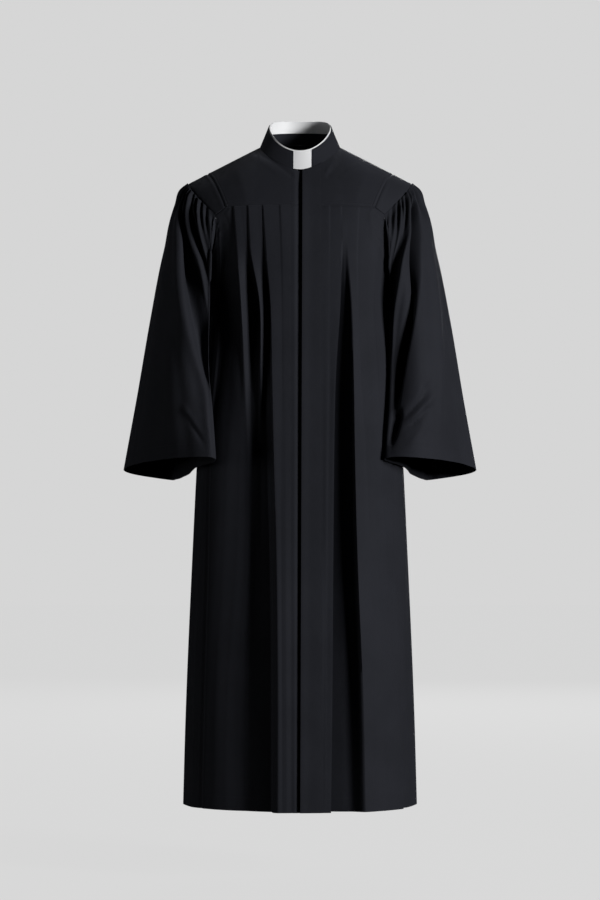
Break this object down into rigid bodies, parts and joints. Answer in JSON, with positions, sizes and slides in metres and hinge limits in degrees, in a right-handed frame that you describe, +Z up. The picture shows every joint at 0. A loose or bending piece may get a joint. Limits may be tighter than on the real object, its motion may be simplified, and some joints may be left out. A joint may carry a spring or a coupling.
{
  "type": "pulpit robe",
  "caption": "Floor-length pulpit robe as worn: yoked and pleated body, gathered bell sleeves, zip-front placket and a notched stand collar with a white band.",
  "frame": {"origin": "middle of the neck opening, level with the base of the neck on the shoulder line, where the wearer carries the robe", "axes": "+Z up along the robe's length, -Y out of the front, +X to the wearer's left"},
  "size_m": [0.753, 0.4323, 1.4508],
  "materials": {
    "robe_cloth": "matte black twill",
    "collar_white": "smooth white"
  },
  "bodies": {
    "root": {"front_yoke_left": "robe_cloth", "front_yoke_right": "robe_cloth", "back_yoke": "robe_cloth", "shoulder_cap_left": "robe_cloth", "shoulder_cap_right": "robe_cloth", "front_left": "robe_cloth", "front_right": "robe_cloth", "back": "robe_cloth", "front_placket": "robe_cloth", "sleeve_left": "robe_cloth", "sleeve_right": "robe_cloth", "collar": "robe_cloth", "collar_insert": "collar_white"}
  },
  "joints": []
}
